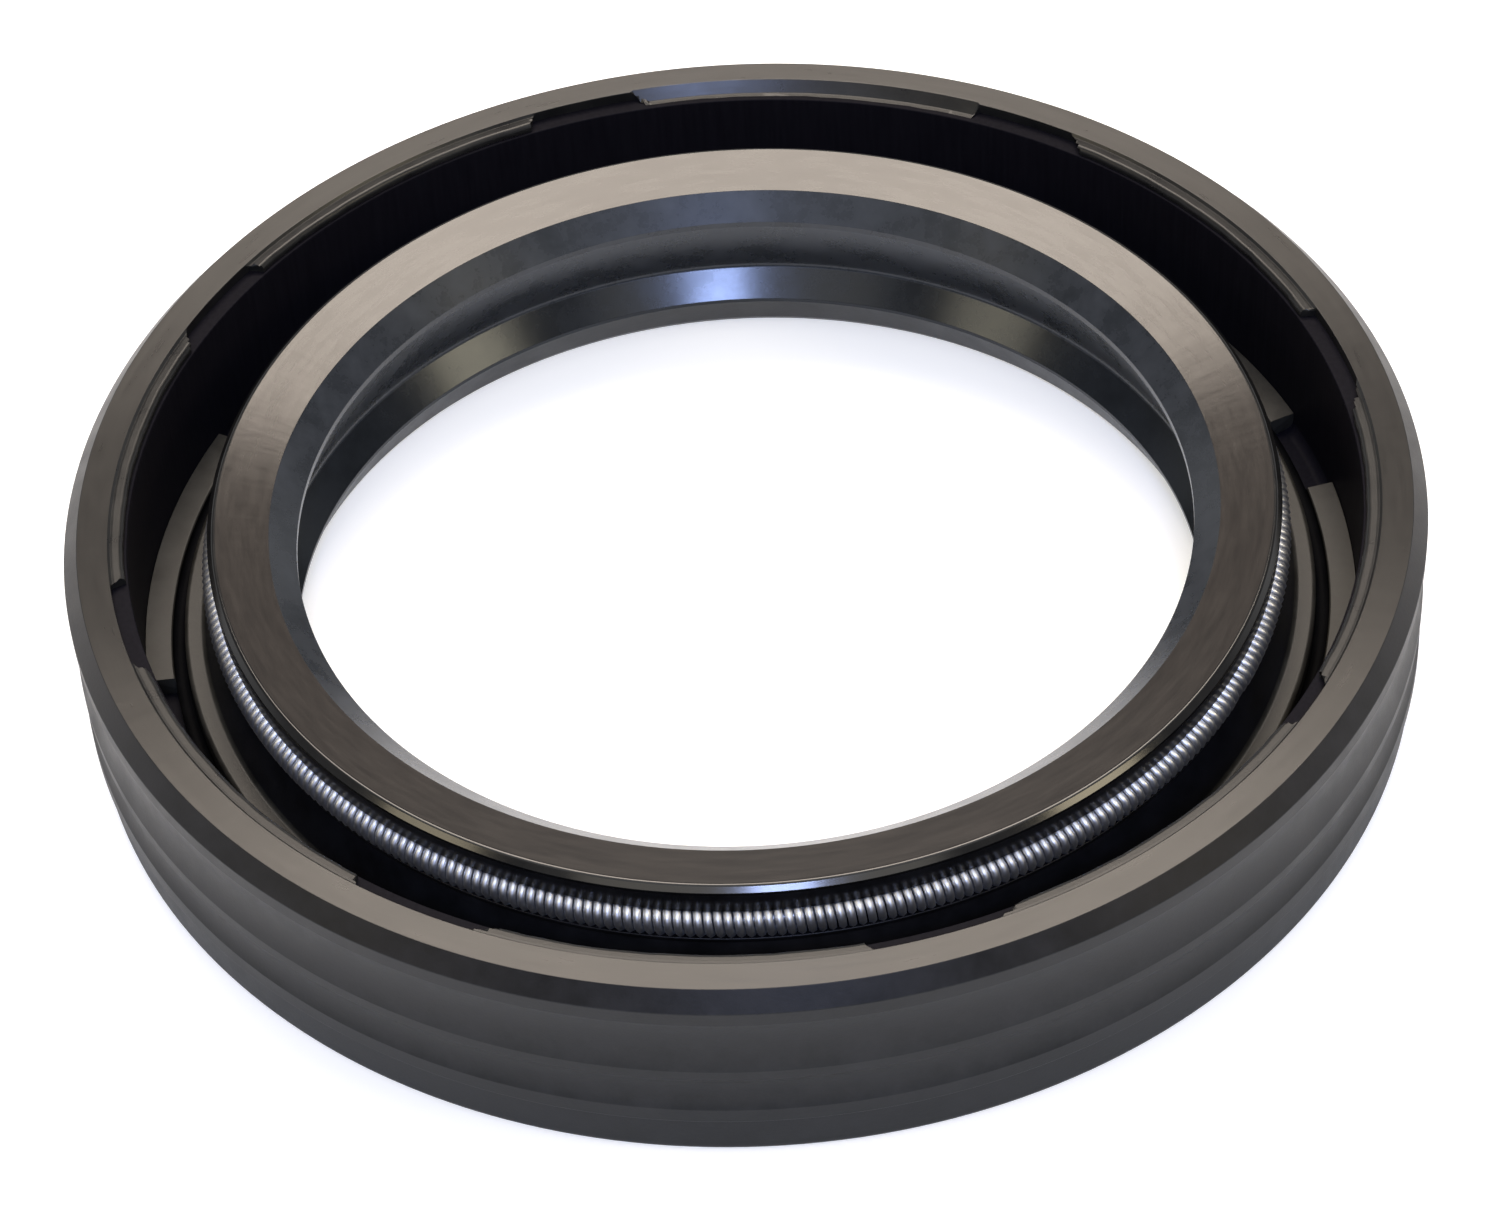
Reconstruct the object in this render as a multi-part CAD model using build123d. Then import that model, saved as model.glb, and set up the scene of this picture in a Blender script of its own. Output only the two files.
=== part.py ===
from build123d import *
import os

# Radial shaft seal, rubber covered, with a garter spring and a dust lip.
# Three pieces: a stamped steel case, the rubber body moulded round it, and the
# garter spring that presses the sealing lip onto the shaft.
#
# Frame: millimetres, +Z along the shaft's axis towards the oil side, origin at the
# centre of the bore on the air side face, which is the face the seal rests on.
# Every section is drawn with radius across and height up, then turned about Z.

# Sizes that name the seal: shaft, housing bore and width
shaft_diameter = 42.0
housing_diameter = 62.0
seal_width = 10.0

# Sealing lip, free of the shaft
lip_interference = 0.9         # the free lip is this much smaller than the shaft, on diameter
contact_band = 0.30            # flat of the sealing edge
lip_edge_depth = 2.15          # oil side face down to the sealing edge
oil_cone_width = 1.17          # sealing edge out to the lip's face
oil_cone_height = 1.05
lip_face_width = 2.48          # the lip's trimmed face, from its bore out to its crest
lip_face_dish = 0.64           # crest down to the face's bore
lip_bevel_width = 0.26         # moulded bevel from the crest out to the lip's side
lip_bevel_height = 0.28
lip_side_height = 0.40
lip_side_round = 0.10
air_cone_width = 1.75          # sealing edge out to the waist between the lips
waist_height = 3.65
waist_radius = 0.25

# Dust lip
dust_lip_clearance = 0.2       # larger than the shaft, on diameter
dust_lip_height = 2.2
dust_lip_tip = 0.18
bore_edge_width = 0.85         # dust lip's tip out to the foot of its lower cone
bore_chamfer_width = 0.40
bore_chamfer_height = 0.45

# Garter spring, a close wound coil joined end to end
spring_coil_diameter = 1.6
spring_depth = 2.70            # oil side face down to the spring's centre line
spring_seat_wall = 2.82        # rubber between the sealing edge and the spring
spring_seat_clearance = 0.04
seat_top_angle = 74            # where the seat's arc opens, from the radial direction
seat_bottom_angle = -62
flange_reach = 0.06            # lower flange of the seat, out beyond its arc
flange_thickness = 0.30

# Floor of the channel, between the flexing wall and the case. Its width is shared out from
# the lip side: the wall's slope, the heel, a ring groove, and the pad takes what is left.
flex_top_width = 0.10          # flange's tip in to the flexing wall
flex_slope_share = 0.20
heel_share = 0.265
groove_share = 0.18
heel_height = 4.05
heel_radius = 0.35
floor_skin = 0.3               # rubber left over the case at the bottom of the groove
pad_thickness = 0.9

# Steel case
case_thickness = 1.2
case_bend_radius = 0.5         # inside the bend
case_floor_lead = 0.75         # flexing wall's foot in to the end of the case's floor
case_top_depth = 0.55          # oil side face down to the case's edge
base_cover = 1.3               # rubber under the case

# Ribbed cover, from the rim down: lands that grip the housing, with hollows between them,
# and a plain foot with the rest of the width
cover_thickness = 1.7
rim_chamfer_width = 0.69
rim_chamfer_height = 0.81
rib_lands = (0.69, 0.50, 0.75)
hollow_widths = (3.0, 2.0)
hollow_depth = 0.26
foot_depth = 0.22
foot_radius = 0.4

# Bead over the case's edge, and the slots that the moulding tool's fins leave
bead_overlap = 0.10            # case's wall out to the bead
bead_width = 0.42
bead_step = 0.15               # rim down to the bead
bead_groove_width = 0.30       # V groove between the bead and the rim
bead_groove_depth = 0.35       # rim down to the bottom of that groove
fin_count = 8
fin_angle = 10.0
first_fin_angle = 13.5

# Radii and heights that follow
lip_radius = (shaft_diameter - lip_interference) / 2
lip_edge_height = seal_width - lip_edge_depth
lip_face_radius = lip_radius + oil_cone_width
lip_crest_radius = lip_face_radius + lip_face_width
lip_crest_height = lip_edge_height + oil_cone_height + lip_face_dish
lip_side_radius = lip_crest_radius + lip_bevel_width
lip_side_top = lip_crest_height - lip_bevel_height
waist_bore_radius = lip_radius + air_cone_width
dust_lip_radius = (shaft_diameter + dust_lip_clearance) / 2
bore_foot_radius = dust_lip_radius + bore_edge_width

coil_radius = spring_coil_diameter / 2
spring_ring_radius = lip_radius + spring_seat_wall + coil_radius
spring_height = seal_width - spring_depth

outer_radius = housing_diameter / 2
rim_radius = outer_radius - rim_chamfer_width
hollow_radius = outer_radius - hollow_depth
foot_land_radius = outer_radius - foot_depth
case_outer_radius = outer_radius - cover_thickness
case_wall_radius = case_outer_radius - case_thickness
case_top = seal_width - case_top_depth
case_floor_top = base_cover + case_thickness
bead_radius = case_wall_radius + bead_overlap
bead_outer_radius = bead_radius + bead_width
bead_groove_radius = bead_outer_radius + bead_groove_width / 2
rim_inner_radius = bead_outer_radius + bead_groove_width
bead_top = seal_width - bead_step


def seat_point(angle):
    """A point on the seat's arc. The seat touches the spring along its innermost circle."""
    centre = Vector(spring_ring_radius + spring_seat_clearance, spring_height)
    return centre + Vector(coil_radius + spring_seat_clearance, 0).rotate(Axis.Z, angle)


seat_top = seat_point(seat_top_angle)
seat_bottom = seat_point(seat_bottom_angle)
flange_radius = seat_bottom.X + flange_reach
flex_top_radius = flange_radius - flex_top_width
flex_top_height = seat_bottom.Y - flange_thickness
channel_width = case_wall_radius - flex_top_radius
flex_foot_radius = flex_top_radius + flex_slope_share * channel_width
heel_edge_radius = flex_foot_radius + heel_share * channel_width
pad_radius = heel_edge_radius + groove_share * channel_width
pad_top = case_floor_top + pad_thickness
case_floor_radius = flex_foot_radius - case_floor_lead


def at(radius, height):
    """A filter for the corner of a section at this radius and height."""
    return lambda corner: abs(corner.X - radius) < 1e-4 and abs(corner.Y - height) < 1e-4


def round_corner(section, radius, height, size):
    """Round one corner of the section being drawn."""
    fillet(section.vertices().filter_by(at(radius, height)), size)


def draw_cover():
    """The ribbed cover, from the rim down to the air side face: lands joined by hollow arcs."""
    land_top = seal_width - rim_chamfer_height
    Line((rim_radius, seal_width), (outer_radius, land_top))
    for land, hollow in zip(rib_lands, hollow_widths):
        land_foot = land_top - land
        Line((outer_radius, land_top), (outer_radius, land_foot))
        land_top = land_foot - hollow
        middle = (hollow_radius, land_foot - hollow / 2)
        ThreePointArc((outer_radius, land_foot), middle, (outer_radius, land_top))
    last_foot = land_top - rib_lands[-1]
    Polyline(
        (outer_radius, land_top),
        (outer_radius, last_foot),
        (foot_land_radius, last_foot - foot_depth),
        (foot_land_radius, 0),
    )


def draw_bore():
    """Dust lip, waist and sealing lip, from the air side face up to the lip's side."""
    Polyline(
        (foot_land_radius, 0),
        (bore_foot_radius + bore_chamfer_width, 0),
        (bore_foot_radius, bore_chamfer_height),
        (dust_lip_radius, dust_lip_height),
        (dust_lip_radius, dust_lip_height + dust_lip_tip),
        (waist_bore_radius, waist_height),
        (lip_radius, lip_edge_height - contact_band),
        (lip_radius, lip_edge_height),
        (lip_face_radius, lip_edge_height + oil_cone_height),
        (lip_crest_radius, lip_crest_height),
        (lip_side_radius, lip_side_top),
        (lip_side_radius, lip_side_top - lip_side_height),
        seat_top,
    )


def draw_channel():
    """The spring's seat, the flexing wall, the channel's floor, the case's wall and the bead."""
    ThreePointArc(seat_top, seat_point(180), seat_bottom)
    Polyline(
        seat_bottom,
        (flange_radius, seat_bottom.Y),
        (flex_top_radius, flex_top_height),
        (flex_foot_radius, heel_height),
        (heel_edge_radius, heel_height),
        (heel_edge_radius, case_floor_top + floor_skin),
        (pad_radius, case_floor_top + floor_skin),
        (pad_radius, pad_top),
        (case_wall_radius, pad_top),
        (case_wall_radius, case_top),
        (bead_radius, case_top),
        (bead_radius, bead_top),
        (bead_outer_radius, bead_top),
        (bead_groove_radius, seal_width - bead_groove_depth),
        (rim_inner_radius, seal_width),
        (rim_radius, seal_width),
    )


def case_section():
    """The case's section: an L, bent where the wall turns into the floor."""
    with BuildSketch(Plane.XZ) as section:
        with BuildLine():
            Polyline(
                (case_floor_radius, base_cover),
                (case_outer_radius, base_cover),
                (case_outer_radius, case_top),
                (case_wall_radius, case_top),
                (case_wall_radius, case_floor_top),
                (case_floor_radius, case_floor_top),
                close=True,
            )
        make_face()
        round_corner(section, case_outer_radius, base_cover, case_bend_radius + case_thickness)
        round_corner(section, case_wall_radius, case_floor_top, case_bend_radius)
    return section.sketch


def body_section():
    """The rubber's section, with the place of the case left open in it."""
    with BuildSketch(Plane.XZ) as section:
        with BuildLine():
            draw_cover()
            draw_bore()
            draw_channel()
        make_face()
        round_corner(section, foot_land_radius, 0, foot_radius)
        round_corner(section, waist_bore_radius, waist_height, waist_radius)
        side_round = min(lip_side_round, lip_side_height, lip_bevel_height)
        round_corner(section, lip_side_radius, lip_side_top, side_round)
        heel_width = heel_edge_radius - flex_foot_radius
        round_corner(section, heel_edge_radius, heel_height, min(heel_radius, heel_width / 2))
    return section.sketch - case_section()


def fin_slots(inner, outer, bottom, top):
    """The slots that the tool's fins leave in one ring of rubber, as sectors of that ring."""
    with BuildSketch(Plane.XZ) as section:
        with BuildLine():
            Polyline((inner, bottom), (outer, bottom), (outer, top), (inner, top), close=True)
        make_face()
    slot = revolve(section.sketch, axis=Axis.Z, revolution_arc=fin_angle)
    return [
        Rotation(0, 0, first_fin_angle - fin_angle / 2 + number * 360 / fin_count) * slot
        for number in range(fin_count)
    ]


def rubber_body():
    """The moulded body: its turned section less the slots in the bead and in the floor's pad."""
    body = revolve(body_section(), axis=Axis.Z)
    bead_slots = fin_slots(case_wall_radius, bead_groove_radius, case_top, seal_width)
    pad_slots = fin_slots(pad_radius, case_wall_radius, case_floor_top, pad_top)
    return body - bead_slots - pad_slots


def steel_case():
    """The case, stamped from sheet: a wall in the cover and a floor under the heel."""
    return revolve(case_section(), axis=Axis.Z)


def garter_spring():
    """The closed ring of the coil, at its outside diameter."""
    with BuildSketch(Plane.XZ) as section:
        with Locations((spring_ring_radius, spring_height)):
            Circle(coil_radius)
    return revolve(section.sketch, axis=Axis.Z)


os.makedirs("parts", exist_ok=True)
export_step(rubber_body(), "parts/rubber_body.step")
export_step(steel_case(), "parts/steel_case.step")
export_step(garter_spring(), "parts/garter_spring.step")
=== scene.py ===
import math

import bmesh
import bpy
import numpy as np
from mathutils import Matrix, Vector


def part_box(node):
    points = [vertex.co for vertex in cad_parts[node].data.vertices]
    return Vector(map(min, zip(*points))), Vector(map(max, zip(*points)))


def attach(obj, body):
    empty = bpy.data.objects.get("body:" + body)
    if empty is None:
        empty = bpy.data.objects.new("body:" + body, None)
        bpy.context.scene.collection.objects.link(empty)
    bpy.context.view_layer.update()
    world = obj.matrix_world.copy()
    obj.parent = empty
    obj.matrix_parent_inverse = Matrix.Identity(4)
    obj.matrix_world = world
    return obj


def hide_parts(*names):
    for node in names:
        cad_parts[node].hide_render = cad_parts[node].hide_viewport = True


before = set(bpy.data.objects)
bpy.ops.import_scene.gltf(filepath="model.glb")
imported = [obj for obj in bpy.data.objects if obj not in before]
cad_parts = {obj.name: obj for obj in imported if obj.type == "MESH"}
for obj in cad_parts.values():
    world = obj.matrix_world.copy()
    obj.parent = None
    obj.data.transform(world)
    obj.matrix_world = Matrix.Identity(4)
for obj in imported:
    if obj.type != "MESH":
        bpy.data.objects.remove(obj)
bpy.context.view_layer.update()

# Lengths here are in millimetres, and the meshes are in metres.
MM = 0.001


# ------------------------------------------------------------------- steel case
# An L section ring stamped from 1.2 mm deep drawing steel, dipped in bonding primer and
# baked before the rubber is moulded round it. Only its wall's inner side, its edge at the
# bead and its floor in the tool's slots are bare of rubber.
case_low, case_high = (np.array(corner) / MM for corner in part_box("steel_case"))
case_outer = case_high[0]
case_bottom = case_low[2]
case_top = case_high[2]
sheet_thickness = 1.2
case_wall = case_outer - sheet_thickness
case_floor = case_bottom + sheet_thickness
case_floor_end = 24.522
bend_radius = 0.5
sheared_edge = 0.07
case_columns = 480
primer_black, primer_worn = "#0b0a0f", "#17161b"


def srgb(code):
    """A hex colour as linear RGBA: each part c is c / 12.92 up to 0.04045, and above it
    ((c + 0.055) / 1.055) to the power of 2.4."""
    part = np.array([int(code[i:i + 2], 16) for i in (1, 3, 5)]) / 255
    linear = np.where(part <= 0.04045, part / 12.92, ((part + 0.055) / 1.055) ** 2.4)
    return (*linear.tolist(), 1.0)


def rounded(corners):
    """The closed section through corners of (radius, height, rounding, steps), in mm: its
    points, the way that the surface faces at each, and the corner that each belongs to. A
    corner's arc starts and ends at rounding / tan(half the inside angle) from it, and its
    points and the way they face turn evenly from one end to the other."""
    corners = np.array(corners, float)
    steps = corners[:, 3].astype(int)
    point, rounding = corners[:, :2], corners[:, 2]
    back = np.roll(point, 1, axis=0) - point
    ahead = np.roll(point, -1, axis=0) - point
    area = (point[:, 0] * ahead[:, 1] - point[:, 1] * ahead[:, 0]).sum()
    back /= np.linalg.norm(back, axis=1, keepdims=True)
    ahead /= np.linalg.norm(ahead, axis=1, keepdims=True)
    half = np.arccos(np.clip((back * ahead).sum(axis=1), -1, 1)) / 2
    middle = (back + ahead) / np.linalg.norm(back + ahead, axis=1, keepdims=True)
    centre = point + middle * (rounding / np.sin(half))[:, None]
    first = point + back * (rounding / np.tan(half))[:, None] - centre
    last = point + ahead * (rounding / np.tan(half))[:, None] - centre
    out_of_back = np.sign(area) * np.stack([-back[:, 1], back[:, 0]], axis=1)
    out_of_ahead = np.sign(area) * np.stack([ahead[:, 1], -ahead[:, 0]], axis=1)
    owner = np.repeat(np.arange(len(corners)), steps + 1)
    share = np.concatenate([np.linspace(0, 1, count + 1) if count else [0.5] for count in steps])
    turn = (math.pi - 2 * half)[owner]
    from_first = (np.sin(turn * (1 - share)) / np.sin(turn))[:, None]
    from_last = (np.sin(turn * share) / np.sin(turn))[:, None]
    points = centre[owner] + from_first * first[owner] + from_last * last[owner]
    facing = from_first * out_of_back[owner] + from_last * out_of_ahead[owner]
    return points, facing, owner


def ring(count):
    """Evenly spaced angles round the axis."""
    return np.arange(count) * 2 * math.pi / count


def turned(section, angles):
    """A section turned about Z: a point at (radius, height) goes to (radius * cos angle,
    radius * sin angle, height). The section may differ from angle to angle."""
    radius = section[..., 0] * np.ones((len(angles), 1))
    height = section[..., 1] * np.ones((len(angles), 1))
    x, y = radius * np.cos(angles)[:, None], radius * np.sin(angles)[:, None]
    return np.stack([x, y, height], axis=-1)


def closed_grid(name, points, facing, materials, material_of_column=None):
    """A mesh over a grid of points in mm that closes both ways: each cell is a face between a
    row and the next, and a column and the next. Points that coincide are joined and faces
    turned outwards. A face's corners are shaded the way its points face, or flat where that
    is more than the sharp angle off the face."""
    sharp_angle = math.radians(50)
    rows, columns = points.shape[:2]
    number = np.arange(rows * columns).reshape(rows, columns)
    right, below = np.roll(number, -1, axis=1), np.roll(number, -1, axis=0)
    cells = np.stack([number, right, np.roll(below, -1, axis=1), below], axis=-1)
    mesh = bpy.data.meshes.new(name)
    mesh.from_pydata(MM * points.reshape(-1, 3), [], cells.reshape(-1, 4))
    for material in materials:
        mesh.materials.append(material)
    if material_of_column is not None:
        mesh.polygons.foreach_set("material_index", np.tile(material_of_column, rows))
    kept_facing = mesh.attributes.new("facing", "FLOAT_VECTOR", "POINT")
    kept_facing.data.foreach_set("vector", facing.ravel())
    joined = bmesh.new()
    joined.from_mesh(mesh)
    bmesh.ops.remove_doubles(joined, verts=joined.verts, dist=1e-7)
    bmesh.ops.recalc_face_normals(joined, faces=joined.faces)
    joined.to_mesh(mesh)
    joined.free()
    mesh.shade_smooth()
    way = np.empty(3 * len(mesh.vertices))
    mesh.attributes["facing"].data.foreach_get("vector", way)
    mesh.attributes.remove(mesh.attributes["facing"])
    flat = np.empty(3 * len(mesh.polygons))
    mesh.polygons.foreach_get("normal", flat)
    size = np.empty(len(mesh.polygons), int)
    mesh.polygons.foreach_get("loop_total", size)
    vertex = np.empty(len(mesh.loops), int)
    mesh.loops.foreach_get("vertex_index", vertex)
    shaded = way.reshape(-1, 3)[vertex]
    shaded /= np.linalg.norm(shaded, axis=1, keepdims=True)
    flat = np.repeat(flat.reshape(-1, 3), size, axis=0)
    off = (shaded * flat).sum(axis=1) < math.cos(sharp_angle)
    mesh.normals_split_custom_set(np.where(off[:, None], flat, shaded).tolist())
    piece = bpy.data.objects.new(name, mesh)
    bpy.context.scene.collection.objects.link(piece)
    return piece


def node(tree, kind, inputs=(), **settings):
    """Adds a node. Settings are its properties, and inputs gives a socket, by name or number,
    its value or the output that feeds it."""
    new = tree.nodes.new(kind)
    for key, value in settings.items():
        setattr(new, key, value)
    for socket, value in dict(inputs).items():
        if isinstance(value, bpy.types.NodeSocket):
            tree.links.new(value, new.inputs[socket])
        else:
            new.inputs[socket].default_value = value
    return new


def finish(name):
    """A new material with an empty node tree, and the tree."""
    material = bpy.data.materials.new(name)
    material.use_nodes = True
    material.node_tree.nodes.clear()
    return material, material.node_tree


def surface(tree, shader):
    """Ends a material's tree with its shader."""
    node(tree, "ShaderNodeOutputMaterial", {"Surface": shader.outputs[0]})


# Bonding primer over steel: a thin dull black lacquer, baked, that takes the light away and
# shows only the draw marks in the sheet under it, a fifth of a millimetre apart.
marks_per_metre = (5000, 5000, 300)
mark_depth = 0.02
primed_steel, tree = finish("primed_steel")
place = node(tree, "ShaderNodeTexCoord")
spread = node(tree, "ShaderNodeMapping", {"Vector": place.outputs["Object"],
                                          "Scale": marks_per_metre})
marks = node(tree, "ShaderNodeTexNoise", {"Vector": spread.outputs[0], "Scale": 1.0,
                                          "Detail": 3.0})
relief = node(tree, "ShaderNodeBump", {"Height": marks.outputs[0], "Strength": 0.3,
                                       "Distance": mark_depth * MM})
tone = node(tree, "ShaderNodeMix", {"Factor": marks.outputs[0], "A": srgb(primer_black),
                                    "B": srgb(primer_worn)}, data_type="RGBA")
surface(tree, node(tree, "ShaderNodeBsdfPrincipled", {
    "Base Color": tone.outputs["Result"], "Roughness": 0.50, "IOR": 1.5,
    "Specular IOR Level": 0.03, "Normal": relief.outputs[0]}))

case_section, case_facing, _ = rounded([
    (case_floor_end, case_bottom, sheared_edge, 2),
    (case_outer, case_bottom, bend_radius + sheet_thickness, 10),
    (case_outer, case_top, sheared_edge, 2),
    (case_wall, case_top, sheared_edge, 3),
    (case_wall, case_floor, bend_radius, 8),
    (case_floor_end, case_floor, sheared_edge, 2),
])
case_angles = ring(case_columns)
case = closed_grid("case", turned(case_section, case_angles), turned(case_facing, case_angles),
                   [primed_steel])
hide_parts("steel_case")
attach(case, "root")


# ------------------------------------------------------------------ rubber body
# Black nitrile rubber, moulded round the case in one shot: ribbed cover, sealing lip with
# the spring's seat, dust lip, and a thin bead over the case's edge, which is open where the
# tool's eight fins held the case. The rim and the lip's face are trimmed by knife.
_, body_high = (np.array(corner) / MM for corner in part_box("rubber_body"))
outside = body_high[0]
width = body_high[2]
spring_low, spring_high = (np.array(corner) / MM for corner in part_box("garter_spring"))
coil_radius = (spring_high[2] - spring_low[2]) / 2
spring_ring = spring_high[0] - coil_radius
spring_height = (spring_high[2] + spring_low[2]) / 2
skin = 0.012                             # from the rubber's faces to the case that they touch
rim_inner, rim_outer = 28.92, 30.31
# A land is its top and its foot. A hollow is an arc between two lands: the radius and the height
# where the tangents at its ends meet, and the radius that it is drawn with.
top_land, middle_land, low_land = (9.19, 8.50), (5.50, 5.00), (3.00, 2.25)
top_hollow, low_hollow = (30.464, 7.00, 4.25), (30.442, 4.00, 1.92)
foot_land, foot_top = 30.78, 2.03
bore_chamfer, bore_foot, bore_foot_height = 22.35, 21.95, 0.45
dust_lip, dust_lip_bottom, dust_lip_top = 21.1, 2.20, 2.38
waist, waist_height = 22.30, 3.65
shaft_lip, edge_bottom, edge_top = 20.55, 7.55, 7.85
lip_face, lip_face_height = 21.72, 8.90
crest, crest_height = 24.20, 9.53
lip_side, lip_side_top, lip_side_bottom = 24.485, 9.262, 8.86
seat_clearance = 0.04
seat_first, seat_last, seat_points = 74, 298, 11    # degrees round the spring's section
flange, flange_thickness, flex_top = 24.664, 0.30, 24.564
heel_inner, heel_outer, heel_top = 25.272, 26.209, 4.05
groove_bottom = 2.8
pad_inner, pad_top, pad_rise = 26.845, 3.36, 0.10
bead_inner, bead_outer, bead_top = 28.22, 28.70, 9.88
trim_groove, trim_groove_bottom = 28.81, 9.86

seat_angles = np.radians(np.linspace(seat_first, seat_last, seat_points))
seat_radius = coil_radius + seat_clearance
seat = [(spring_ring + seat_clearance + seat_radius * math.cos(angle),
         spring_height + seat_radius * math.sin(angle), 0, 0) for angle in seat_angles]
seat_bottom = seat[-1][1]

# The section's corners, each a radius, a height, a rounding and the steps of that rounding.
# They run from the rim down the cover, in under the base, up the bore, over the lip, down the
# spring's seat and the channel, and round the case back up to the bead.
outline = {
    "trimmed rim": [
        (rim_inner, width, 0.03, 2),
    ],
    "chamfer": [
        (rim_outer, width, 0.05, 3),
    ],
    "cover": [
        (outside, top_land[0], 0.10, 3),
        (outside, top_land[1], 0.08, 2),
        (*top_hollow, 6),
        (outside, middle_land[0], 0.08, 2),
        (outside, middle_land[1], 0.08, 2),
        (*low_hollow, 6),
        (outside, low_land[0], 0.08, 2),
        (outside, low_land[1], 0.08, 2),
        (foot_land, foot_top, 0.10, 2),
        (foot_land, 0.00, 0.40, 5),
    ],
    "dust cone": [
        (bore_chamfer, 0.00, 0.10, 3),
        (bore_foot, bore_foot_height, 0.15, 3),
    ],
    "dust lip": [
        (dust_lip, dust_lip_bottom, 0.05, 2),
        (dust_lip, dust_lip_top, 0.05, 2),
    ],
    "sealing lip": [
        (waist, waist_height, 0.25, 6),
        (shaft_lip, edge_bottom, 0.05, 2),
        (shaft_lip, edge_top, 0.02, 2),
    ],
    "trimmed lip": [
        (lip_face, lip_face_height, 0.03, 2),
    ],
    "bevel": [
        (crest, crest_height, 0.20, 6),
        (lip_side, lip_side_top, 0.05, 3),
    ],
    "channel": [
        (lip_side, lip_side_top - 0.12, 0, 0),
        (lip_side - 0.01, lip_side_bottom, 0, 0),
    ] + seat + [
        (flange, seat_bottom, 0.07, 2),
        (flex_top, seat_bottom - flange_thickness, 0.06, 2),
    ],
    "heel": [
        (heel_inner, heel_top, 0.25, 4),
        (heel_outer, heel_top, 0.22, 5),
    ],
    "groove": [
        (heel_outer, groove_bottom, 0.30, 4),
        (pad_inner, groove_bottom, 0.30, 4),
    ],
    "pad": [
        (pad_inner, pad_top, 0.10, 3),
        (case_wall - skin, pad_top + pad_rise, 0.02, 1),
        (case_wall - skin, case_floor + skin, bend_radius - skin, 4),
    ],
    "bond": [
        (case_floor_end - skin, case_floor + skin, sheared_edge, 1),
        (case_floor_end - skin, case_bottom - skin, sheared_edge, 1),
        (case_outer + skin, case_bottom - skin, bend_radius + sheet_thickness + skin, 2),
        (case_outer + skin, case_top + skin, sheared_edge, 1),
    ],
    "bead": [
        (bead_inner, case_top + skin, 0.02, 1),
        (bead_inner, bead_top, 0.26, 6),
        (bead_outer, bead_top, 0.08, 3),
        (trim_groove, trim_groove_bottom, 0.03, 1),
    ],
}
corners = [corner for stretch in outline.values() for corner in stretch]
stretch_of_corner = np.repeat(list(outline), [len(stretch) for stretch in outline.values()])
body_section, body_facing, owner = rounded(corners)
stretch_of_point = stretch_of_corner[owner]

# Between the second slot and the third the knife left no bead, but a bevel from the rim down
# to the case's edge, with a film of rubber on it. It has a point for each of the bead's.
bevel_middle, bevel_reach, bevel_fade = 80, 25, 2   # degrees
film_end, film_foot, film_top = case_wall + 0.25, case_top + 0.02, case_top + 0.04
bevel_foot, bevel_bend, bevel_bend_height, bevel_head = 28.60, 28.82, 9.73, rim_inner + 0.13
bevelled = dict(outline)
bevelled["trimmed rim"] = [(bevel_head, width, 0.06, 2)]
bevelled["bead"] = [
    (film_end, case_top + skin, 0.001, 1),
    (film_end + 0.02, film_foot, 0.001, 6),
    (bevel_foot, film_top, 0.04, 3),
    (bevel_bend, bevel_bend_height, 0.20, 1),
]
bevel_section, bevel_facing, _ = rounded(
    [corner for stretch in bevelled.values() for corner in stretch])

# In a slot the pad's points run down the slot's wall to the case's floor, and the bead's up
# its wall from the case's edge to the rim.
slot_wall, slot_wall_top = rim_inner - 0.01, width - 0.06
slot_section, slot_facing = body_section.copy(), body_facing.copy()
in_pad = np.flatnonzero(stretch_of_point == "pad")
groove_wall_foot = body_section[in_pad[0] - 1, 1]
slot_section[in_pad, 0] = pad_inner
slot_section[in_pad, 1] = np.linspace(groove_wall_foot, case_floor + skin, len(in_pad) + 1)[1:]
slot_facing[in_pad] = (1, 0)
in_bead = np.flatnonzero(stretch_of_point == "bead")
slot_section[in_bead, 0] = slot_wall
slot_section[in_bead, 1] = np.linspace(case_top + skin, slot_wall_top, len(in_bead))
slot_facing[in_bead] = (-1, 0)

# The tool's eight fins, in degrees. A slot's end wall is fin_draft wide, and in the bead it
# leans by the angles given for each slot, from the rim's side of the bead to the channel's.
# The last slot is half filled in the bead, where rubber has flowed round its fin.
fin_count, fin_angle, first_fin = 8, 10.0, 13.5
fin_draft = 0.35
start_lean = np.array([-4.0, -1.6, -1.6, -0.8, -0.6, -0.8, -0.6, -1.0])
end_lean = np.array([0.2, 0.2, 0.5, 1.6, 1.2, 3.5, 3.0, 0.8])
flash_start, flash_lean = 328.0, 1.5

# Columns stand column_step degrees apart, and closer where a slot's end or the flash leans.
column_step, draft_columns, lean_step, lean_steps = 1.5, 4, 0.4, 8
fin_pitch = 360 / fin_count
fin_places = first_fin + fin_pitch * np.arange(fin_count)[:, None]
slot_ends = fin_places + fin_angle / 2 * np.array([-1, 1])
ramp = np.concatenate([np.linspace(-fin_draft / 2, fin_draft / 2, draft_columns),
                       np.arange(-lean_steps, lean_steps + 1) * lean_step])
columns = np.concatenate([np.arange(0, 360, column_step),
                          (slot_ends[..., None] + ramp).ravel() % 360, flash_start + ramp])
angles = np.radians(np.unique(columns.round(3)))
degrees = np.degrees(angles)[:, None]

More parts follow.
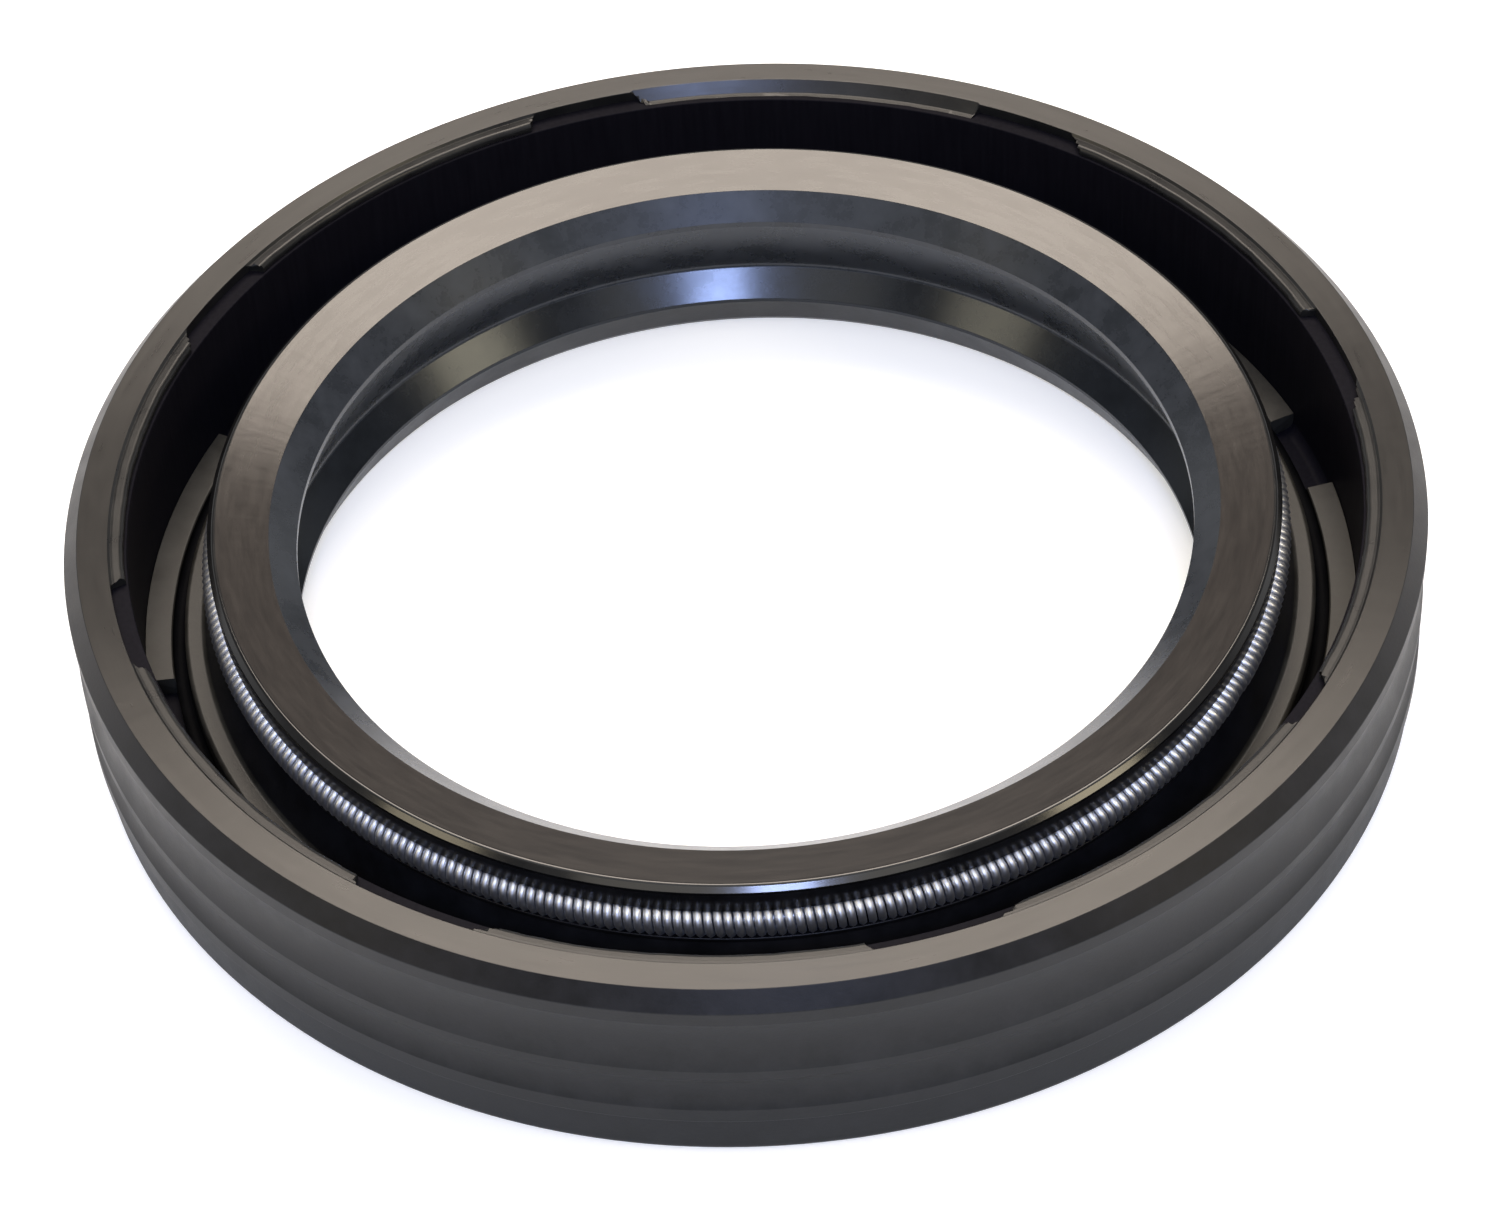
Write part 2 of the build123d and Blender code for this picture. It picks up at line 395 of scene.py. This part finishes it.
# How far each point has gone over to its slot's section, 0 to 1, and each column to the bevel's.
turn = (degrees[:, 0] - first_fin + fin_pitch / 2) % 360
slot = (turn // fin_pitch).astype(int)
from_fin = (turn % fin_pitch - fin_pitch / 2)[:, None]
inward = (rim_inner - body_section[:, 0]) / (rim_inner - bead_inner)
depth = np.where(stretch_of_point == "bead", inward, 0)
start = -fin_angle / 2 + start_lean[slot][:, None] * depth
end = fin_angle / 2 + end_lean[slot][:, None] * depth
openness = (np.clip((from_fin - start) / fin_draft + 0.5, 0, 1)
            * np.clip((end - from_fin) / fin_draft + 0.5, 0, 1))
past_flash = (degrees - flash_start - flash_lean * depth) / fin_draft
flashed = (np.clip(past_flash + 0.5, 0, 1) * (slot == fin_count - 1)[:, None]
           * (stretch_of_point == "bead"))
openness = (openness * (1 - flashed))[..., None]
bevelling = np.clip((bevel_reach - np.abs(degrees - bevel_middle)) / bevel_fade, 0, 1)[..., None]
between = body_section * (1 - bevelling) + bevel_section * bevelling
sections = between * (1 - openness) + slot_section * openness
between = body_facing * (1 - bevelling) + bevel_facing * bevelling
facings = between * (1 - openness) + slot_facing * openness

# The knife's drag leaves the bead's inner edge ragged, by a few hundredths of a millimetre.
ragged_depth, ragged_waves = 0.011, ((13, 1), (31, 2), (67, 0), (103, 0))
ragged = ragged_depth * sum(np.sin(count * angles + phase) for count, phase in ragged_waves)
sections[..., 0] += ragged[:, None] * np.clip(depth, 0, 1) * (1 - openness[..., 0])


def rubber(name, black, bloom, roughness, grain, grain_height, specular, painted_gloss_tint="#ffffff"):
    """Moulded nitrile rubber, as black as its carbon filler, with a faint bloom of wax in
    patches. Grain is the size in mm of the mould's spark eroded texture. The tint given to its
    gloss is painted reflection colour: bluish, it stands for the bluish lamp light."""
    patch_size, gloss_spread = 2.0, 0.14
    material, tree = finish(name)
    place = node(tree, "ShaderNodeTexCoord").outputs["Object"]
    patches = node(tree, "ShaderNodeTexNoise", {"Vector": place, "Scale": 1 / (patch_size * MM),
                                                "Detail": 6.0, "Roughness": 0.7})
    texture = node(tree, "ShaderNodeTexNoise", {"Vector": place, "Scale": 1 / (grain * MM),
                                                "Detail": 4.0, "Roughness": 0.65})
    cloud = node(tree, "ShaderNodeMapRange", {"Value": patches.outputs[0], "From Min": 0.35,
                                              "From Max": 0.68})
    tone = node(tree, "ShaderNodeMix", {"Factor": cloud.outputs[0], "A": srgb(black),
                                        "B": srgb(bloom)}, data_type="RGBA")
    gloss = node(tree, "ShaderNodeMapRange", {"Value": patches.outputs[0], "From Min": 0.3,
                                              "From Max": 0.7,
                                              "To Min": (1 - gloss_spread) * roughness,
                                              "To Max": (1 + gloss_spread) * roughness})
    relief = node(tree, "ShaderNodeBump", {"Height": texture.outputs[0], "Strength": 0.5,
                                           "Distance": grain_height * MM})
    surface(tree, node(tree, "ShaderNodeBsdfPrincipled", {
        "Base Color": tone.outputs["Result"], "Roughness": gloss.outputs[0], "IOR": 1.5,
        "Specular IOR Level": specular, "Specular Tint": srgb(painted_gloss_tint),
        "Normal": relief.outputs[0]}))
    return material


def trimmed_rubber(name, black, smeared, roughness, stretch, feed, feed_height, chatter_height,
                   specular):
    """Rubber cut by a turning knife: rings round the axis where the knife dragged, feed mm
    apart, smears between them, and across them the ripple of its chatter, in radial bands.
    Light runs out across the rings, so the gloss is stretched that way, 0 to 1."""
    smear_spacing, chatter_spacing, gloss_spread = 0.35, 2.5, 0.03
    material, tree = finish(name)
    place = node(tree, "ShaderNodeTexCoord").outputs["Object"]
    flat = node(tree, "ShaderNodeVectorMath", {0: place, 1: (1, 1, 0)}, operation="MULTIPLY")
    radius = node(tree, "ShaderNodeVectorMath", {0: flat.outputs[0]}, operation="LENGTH")
    direction = node(tree, "ShaderNodeVectorMath", {0: flat.outputs[0]}, operation="NORMALIZE")

    def rings(turns, spacing, detail):
        """Noise drawn out round the axis: it changes turns times per radian, and each
        spacing mm across."""
        along = node(tree, "ShaderNodeVectorMath", {0: direction.outputs[0], "Scale": turns},
                     operation="SCALE")
        part = node(tree, "ShaderNodeSeparateXYZ", {0: along.outputs[0]})
        across = node(tree, "ShaderNodeMath", {0: radius.outputs["Value"], 1: 1 / (spacing * MM)},
                      operation="MULTIPLY")
        spot = node(tree, "ShaderNodeCombineXYZ", {0: part.outputs[0], 1: part.outputs[1],
                                                   2: across.outputs[0]})
        noise = node(tree, "ShaderNodeTexNoise", {"Vector": spot.outputs[0], "Scale": 1.0,
                                                  "Detail": detail, "Roughness": 0.6})
        return noise.outputs[0]

    drag = rings(turns=5, spacing=feed, detail=3.0)
    smear = rings(turns=9, spacing=smear_spacing, detail=5.0)
    chatter = rings(turns=26, spacing=chatter_spacing, detail=2.0)
    tone = node(tree, "ShaderNodeMix", {"Factor": smear, "A": srgb(black), "B": srgb(smeared)},
                data_type="RGBA")
    gloss = node(tree, "ShaderNodeMapRange", {"Value": smear, "From Min": 0.3, "From Max": 0.7,
                                              "To Min": roughness - gloss_spread,
                                              "To Max": roughness + gloss_spread})
    ripple = node(tree, "ShaderNodeBump", {"Height": chatter, "Strength": 1.0,
                                           "Distance": chatter_height * MM})
    relief = node(tree, "ShaderNodeBump", {"Height": drag, "Strength": 1.0,
                                           "Distance": feed_height * MM,
                                           "Normal": ripple.outputs[0]})
    tangent = node(tree, "ShaderNodeTangent", direction_type="RADIAL", axis="Z")
    surface(tree, node(tree, "ShaderNodeBsdfPrincipled", {
        "Base Color": tone.outputs["Result"], "Roughness": gloss.outputs[0], "IOR": 1.5,
        "Specular IOR Level": specular, "Anisotropic": stretch, "Anisotropic Rotation": 0.25,
        "Tangent": tangent.outputs[0], "Normal": relief.outputs[0]}))
    return material


# One rubber in ten finishes. At the rim and on the lip's face the knife leaves fine rings that
# draw the gloss out across them. The mould was spark eroded for the cover, which is satin, and
# polished for the lips. The channel is dull, and its groove is painted near black, as shade.
finishes = {
    "trimmed rim": trimmed_rubber(
        "knife_trimmed_rim", "#1f1d1b", "#2b2926", roughness=0.30, stretch=0.93,
        feed=0.16, feed_height=0.0020, chatter_height=0.004, specular=0.46),
    # Painted reflection colour: the cover's gloss is tinted faintly blue, for the bluish light.
    "cover": rubber(
        "satin_moulded_nitrile", "#131314", "#242425", roughness=0.50,
        grain=0.14, grain_height=0.014, specular=0.28, painted_gloss_tint="#e6edf5"),
    "trimmed lip": trimmed_rubber(
        "knife_trimmed_lip", "#1d1a18", "#2d2824", roughness=0.24, stretch=0.72,
        feed=0.16, feed_height=0.0011, chatter_height=0.005, specular=0.50),
    # Painted light: the lips' blacks and the tints of their gloss lean blue, for the bluish lamp
    # light in the bore.
    "dust lip": rubber(
        "polished_moulded_nitrile", "#0d1014", "#191c20", roughness=0.20,
        grain=0.25, grain_height=0.003, specular=0.38, painted_gloss_tint="#e6edf8"),
    "sealing lip": rubber(
        "bloomed_moulded_nitrile", "#191c20", "#292c31", roughness=0.28,
        grain=0.25, grain_height=0.005, specular=0.42, painted_gloss_tint="#e6edf8"),
    "bevel": rubber(
        "mould_polished_bevel", "#0c0c0d", "#141414", roughness=0.15,
        grain=0.30, grain_height=0.001, specular=0.45),
    "bead": rubber(
        "moulded_bead", "#111112", "#1e1e1d", roughness=0.30,
        grain=0.12, grain_height=0.006, specular=0.25),
    # Painted shade: a darker black than the heel's, for the channel's depth. The chamfer, dust
    # cone and bond share it.
    "channel": rubber(
        "shaded_moulded_nitrile", "#0b0b0d", "#151518", roughness=0.40,
        grain=0.15, grain_height=0.010, specular=0.25),
    "heel": rubber(
        "dull_moulded_nitrile", "#1a1916", "#2b2a26", roughness=0.40,
        grain=0.14, grain_height=0.010, specular=0.31),
    # Painted shade: near black and barely glossy, for the shade deep in the groove.
    "groove": rubber(
        "groove_painted_shade", "#070708", "#0d0d0e", roughness=0.60,
        grain=0.15, grain_height=0.010, specular=0.02),
}
# The other stretches share a finish with one of these.
finish_of_stretch = {"chamfer": "channel", "dust cone": "channel", "pad": "heel",
                     "bond": "channel"}
finish_names = list(finishes)
finish_of_point = [finish_names.index(finish_of_stretch.get(stretch, stretch))
                   for stretch in stretch_of_point]
body = closed_grid("body", turned(sections, angles), turned(facings, angles),
                   finishes.values(), finish_of_point)
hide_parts("rubber_body")
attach(body, "root")


# ---------------------------------------------------------------- garter spring
# A close wound coil of 0.4 mm stainless wire, its tapered end screwed into the other end
# to close the ring. It lies in its seat under the lip's nose.
wire_radius, wire_sides = 0.2, 6
winding_count, winding_steps = 360, 10
winding_radius = coil_radius - wire_radius
joint_angle = math.radians(328.9)
nib_reach, nib_taper = 1.2, 0.10                    # degrees, and a share of the coil's size

# The wire's centre line winds round the ring's: at angle a it is the winding radius off it,
# turned by the winding count times a. Round the centre line go the wire's own sides.
around = ring(winding_count * winding_steps)
phase = -winding_count * around
off_joint = np.degrees((around - joint_angle + math.pi) % (2 * math.pi) - math.pi)
nib = np.exp(-(off_joint / nib_reach) ** 2)
coil = winding_radius * (1 - nib_taper * nib)
outward = np.stack([np.cos(around), np.sin(around), 0 * around], axis=-1)
upward = np.array([0, 0, 1])
normal = np.cos(phase)[:, None] * outward + np.sin(phase)[:, None] * upward
centre_line = spring_ring * outward + spring_height * upward + coil[:, None] * normal
tangent = np.roll(centre_line, -1, axis=0) - np.roll(centre_line, 1, axis=0)
tangent /= np.linalg.norm(tangent, axis=1, keepdims=True)
binormal = np.cross(tangent, normal)
side = ring(wire_sides)[None, :, None]
wire_facing = np.cos(side) * normal[:, None] + np.sin(side) * binormal[:, None]
wire = centre_line[:, None] + wire_radius * wire_facing

# Drawn stainless wire: the die leaves it bright but not polished, so each winding carries one
# soft streak of light, and a film of oil dulls it in places.
stain_size = 1.5
spring_steel, tree = finish("drawn_stainless_wire")
place = node(tree, "ShaderNodeTexCoord")
stain = node(tree, "ShaderNodeTexNoise", {"Vector": place.outputs["Object"],
                                          "Scale": 1 / (stain_size * MM), "Detail": 3.0})
tone = node(tree, "ShaderNodeMix", {"Factor": stain.outputs[0], "A": srgb("#e6e8ee"),
                                    "B": srgb("#b4b6bc")}, data_type="RGBA")
surface(tree, node(tree, "ShaderNodeBsdfPrincipled", {
    "Base Color": tone.outputs["Result"], "Metallic": 1.0, "Roughness": 0.42}))
spring = closed_grid("spring", wire, wire_facing, [spring_steel])
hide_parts("garter_spring")
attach(spring, "root")


# -------------------------------------------------------------- floor and light
# A wide sheet of white paper, and soft light from above the seal's far side, as from a studio's
# ceiling box. A small lamp and a dim wall stand behind the camera, and a card to each side.
floor_reach, floor_height = 2.0, -0.02 * MM
paper_glow = 0.46
floor_mesh = bpy.data.meshes.new("floor")
floor_mesh.from_pydata([(x * floor_reach, y * floor_reach, floor_height)
                        for x, y in ((-1, -1), (1, -1), (1, 1), (-1, 1))], [], [(0, 1, 2, 3)])
floor = bpy.data.objects.new("floor", floor_mesh)
bpy.context.scene.collection.objects.link(floor)


def seen_straight(tree):
    """1 for camera, glossy and transmission rays, and 0 for the rays that carry light."""
    ray = node(tree, "ShaderNodeLightPath").outputs
    mirrored = node(tree, "ShaderNodeMath", {0: ray["Is Camera Ray"], 1: ray["Is Glossy Ray"]},
                    operation="MAXIMUM")
    seen = node(tree, "ShaderNodeMath", {0: mirrored.outputs[0], 1: ray["Is Transmission Ray"]},
                operation="MAXIMUM")
    return seen.outputs[0]


white_paper, tree = finish("white_paper")
paper = node(tree, "ShaderNodeBsdfDiffuse", {"Color": srgb("#dcdcdc")})
glow = node(tree, "ShaderNodeEmission", {"Color": (1, 1, 1, 1), "Strength": paper_glow})
both = node(tree, "ShaderNodeAddShader", {0: paper.outputs[0], 1: glow.outputs[0]})
surface(tree, node(tree, "ShaderNodeMixShader", {0: seen_straight(tree),
                                                1: paper.outputs[0], 2: both.outputs[0]}))
floor_mesh.materials.append(white_paper)

# Past the floor the paper goes up as a backdrop, white to the eye and in gloss, and its upper
# edge is soft. The light itself is that of a dim room with a bright ceiling. Edges are heights
# on the sphere of the sky, 0 at the level of the floor and 1 straight up.
paper_edge, ceiling_edge = (0.17, 0.34), (0.76, 0.82)
paper_level, room_level, ceiling_level = 1.0, 0.26, 1.2
world = bpy.data.worlds.new("studio")
world.use_nodes = True
tree = world.node_tree
tree.nodes.clear()
direction = node(tree, "ShaderNodeTexCoord")
height = node(tree, "ShaderNodeSeparateXYZ", {0: direction.outputs["Generated"]})
backdrop = node(tree, "ShaderNodeMapRange", {"Value": height.outputs[2], "To Min": 1.0,
                                             "To Max": 0.0, "From Min": paper_edge[0],
                                             "From Max": paper_edge[1]})
paper_seen = node(tree, "ShaderNodeMath", {0: backdrop.outputs[0], 1: seen_straight(tree)},
                  operation="MULTIPLY")
room = node(tree, "ShaderNodeMapRange", {"Value": height.outputs[2], "To Min": room_level,
                                         "To Max": ceiling_level, "From Min": ceiling_edge[0],
                                         "From Max": ceiling_edge[1]})
level = node(tree, "ShaderNodeMix", {"Factor": paper_seen.outputs[0], "A": room.outputs[0],
                                     "B": paper_level})
air = node(tree, "ShaderNodeBackground", {"Color": (1, 1, 1, 1), "Strength": level.outputs[0]})
node(tree, "ShaderNodeOutputWorld", {"Surface": air.outputs[0]})
bpy.context.scene.world = world


def softbox(name, azimuth, elevation, distance, wide, high, radiance, colour):
    """An area lamp that faces the seal from azimuth and elevation, in degrees. Wide and high
    are the angles that it spans, and its power is 4 * area * radiance."""
    lamp = bpy.data.lights.new(name, "AREA")
    lamp.shape = "RECTANGLE"
    lamp.size = 2 * distance * math.tan(math.radians(wide / 2))
    lamp.size_y = 2 * distance * math.tan(math.radians(high / 2))
    lamp.energy = 4 * lamp.size * lamp.size_y * radiance
    lamp.color = srgb(colour)[:3]
    turn, tilt = math.radians(azimuth), math.radians(elevation)
    out = math.cos(tilt)
    toward = Vector((math.cos(turn) * out, math.sin(turn) * out, math.sin(tilt)))
    holder = bpy.data.objects.new(name, lamp)
    holder.location = toward * distance
    holder.rotation_euler = toward.to_track_quat("Z", "Y").to_euler()
    bpy.context.scene.collection.objects.link(holder)


softbox("ceiling_box", azimuth=90, elevation=63.5, distance=0.7, wide=40, high=29,
        radiance=8.2, colour="#fff0e0")
softbox("camera_lamp", azimuth=273, elevation=46.5, distance=0.5, wide=9, high=6,
        radiance=64.0, colour="#b4c8ff")
softbox("camera_wall", azimuth=268, elevation=46.5, distance=0.6, wide=54, high=12,
        radiance=1.6, colour="#e9e2d4")
softbox("left_card", azimuth=203, elevation=36, distance=0.5, wide=15, high=15,
        radiance=5.5, colour="#e6d8b8")
softbox("right_card", azimuth=337, elevation=36, distance=0.5, wide=15, high=15,
        radiance=9.0, colour="#e6d8b8")


# ----------------------------------------------------------------------- camera
# A long lens looks down at the seal from the near side, a little over 200 mm away.
camera_place = Vector((0, -149.05, 150.57))
look_down, roll = math.radians(44.934), math.radians(-3.679)
lens = bpy.data.cameras.new("camera")
lens.sensor_width = 36
lens.lens = 108
lens.clip_start, lens.clip_end = 0.01, 10
camera = bpy.data.objects.new("camera", lens)
camera.matrix_world = (Matrix.Translation(camera_place * MM)
                       @ Matrix.Rotation(math.pi / 2 - look_down, 4, "X")
                       @ Matrix.Rotation(roll, 4, "Z"))
bpy.context.scene.collection.objects.link(camera)
bpy.context.scene.camera = camera
bpy.context.scene.view_settings.view_transform = "Standard"
